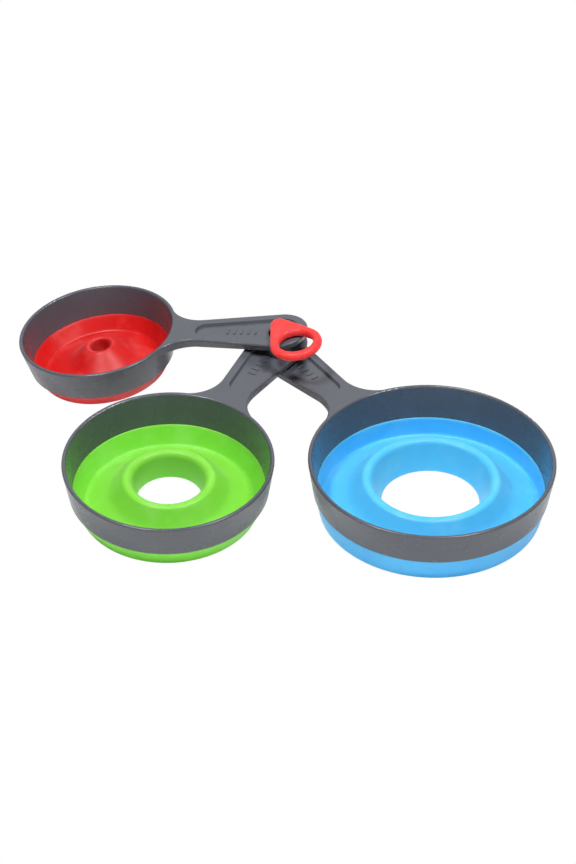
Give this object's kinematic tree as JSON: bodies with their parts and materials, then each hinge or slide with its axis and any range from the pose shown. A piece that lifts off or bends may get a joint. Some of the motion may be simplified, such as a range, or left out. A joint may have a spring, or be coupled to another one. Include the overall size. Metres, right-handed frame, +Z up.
{
  "type": "collapsible funnel set",
  "caption": "Nesting collapsible silicone funnels with rigid grey rims and strap handles, pressed flat and strung by their handle holes on a red silicone hanging loop.",
  "frame": {"origin": "middle of the set's footprint, on the table that its folded bases stand on", "axes": "+Z up, +X from the smallest funnel towards the largest, +Y away from the largest funnel's near side towards the smallest"},
  "size_m": [0.2653, 0.2026, 0.0507],
  "materials": {
    "grey_plastic": "satin",
    "blue_silicone": "satin",
    "green_silicone": "satin",
    "red_silicone": "satin",
    "loop_silicone": "satin"
  },
  "bodies": {
    "large_funnel": {"large_rim": "grey_plastic", "large_skirt": "blue_silicone", "large_cone": "blue_silicone"},
    "large_outlet": {"large_spout": "blue_silicone"},
    "medium_funnel": {"medium_rim": "grey_plastic", "medium_skirt": "green_silicone", "medium_cone": "green_silicone"},
    "medium_outlet": {"medium_spout": "green_silicone"},
    "small_funnel": {"small_rim": "grey_plastic", "small_skirt": "red_silicone", "small_cone": "red_silicone"},
    "small_outlet": {"small_spout": "red_silicone"},
    "loop": {"hang_loop": "loop_silicone", "loop_stem": "loop_silicone"}
  },
  "joints": [
    {"name": "large_unfold", "type": "slide", "parent": "large_funnel", "child": "large_outlet", "axis": [0, 0, -1], "range_m": [0, 0.0326], "deforming": ["large_cone"]},
    {"name": "medium_unfold", "type": "slide", "parent": "medium_funnel", "child": "medium_outlet", "axis": [0.0262, 0.0451, -0.9986], "range_m": [0, 0.0312], "deforming": ["medium_cone"]},
    {"name": "small_unfold", "type": "slide", "parent": "small_funnel", "child": "small_outlet", "axis": [0.1526, -0.0286, -0.9879], "range_m": [0, 0.0272], "deforming": ["small_cone"]},
    {"name": "medium_swing", "type": "hinge", "parent": "large_funnel", "child": "medium_funnel", "pos_m": [-0.00171, 0.04429, 0.03531], "axis": [0, 0, 1], "range_deg": [-6, 5]},
    {"name": "small_swing", "type": "hinge", "parent": "large_funnel", "child": "small_funnel", "pos_m": [-0.00171, 0.04429, 0.04242], "axis": [0, 0, 1], "range_deg": [-70, 6]},
    {"name": "loop_swivel", "type": "hinge", "parent": "small_funnel", "child": "loop", "pos_m": [-0.00171, 0.04429, 0.04242], "axis": [-0.1526, 0.0286, 0.9879], "continuous": true}
  ]
}
